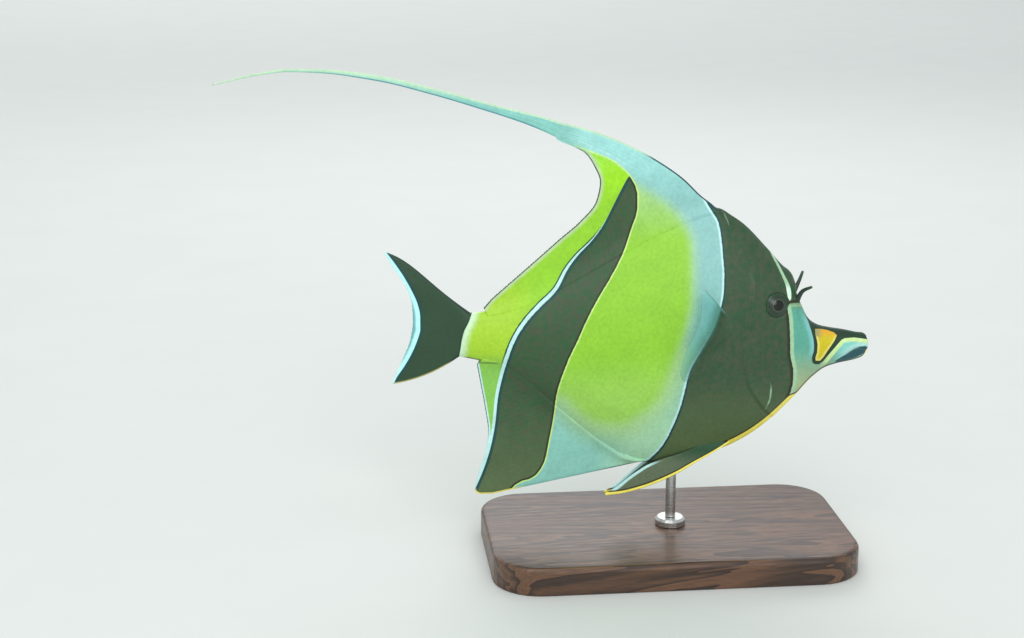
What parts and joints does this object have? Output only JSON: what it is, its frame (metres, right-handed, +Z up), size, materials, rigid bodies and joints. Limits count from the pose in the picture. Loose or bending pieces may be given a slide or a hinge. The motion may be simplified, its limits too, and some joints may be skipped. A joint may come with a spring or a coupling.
{
  "type": "moorish idol fish model on a display stand",
  "caption": "Life-size swimming moorish idol with a tall disc body, a long snout and a trailing dorsal streamer, held over a flat base by a short rod.",
  "frame": {"origin": "centre of the base's underside, at table level", "axes": "+X towards the fish's snout, +Y towards the fish's left side, +Z up"},
  "size_m": [0.2727, 0.092, 0.2114],
  "materials": {
    "head": "orange, black and pale blue skin, satin",
    "lower_jaw": "black skin, satin",
    "torso": "yellow, black and pale blue skin of fine scales, satin",
    "tail_stalk": "yellow skin of fine scales, satin",
    "fin": "fin skin over rays, satin",
    "black_fin": "black fin skin over rays, satin",
    "yellow_fin": "yellow fin skin over rays, satin",
    "eye": "wet gloss",
    "horn": "satin horn",
    "base": "dark stained, satin varnish",
    "metal": "brushed"
  },
  "bodies": {
    "root": {"head": "head", "lower_jaw": "lower_jaw", "torso": "torso", "tail_stalk": "tail_stalk", "dorsal_fin_front": "fin", "dorsal_fin_rear": "yellow_fin", "streamer_root": "fin", "streamer_middle": "fin", "streamer_tip": "fin", "anal_fin": "yellow_fin", "tail_fin_upper": "black_fin", "tail_fin_lower": "black_fin", "pectoral_fin_left": "fin", "pectoral_fin_right": "fin", "pelvic_fin_left": "black_fin", "pelvic_fin_right": "black_fin", "eye_left": "eye", "eye_right": "eye", "horn_left": "horn", "horn_right": "horn", "stand_base": "base", "stand_collar": "metal", "stand_rod": "metal"}
  },
  "joints": []
}
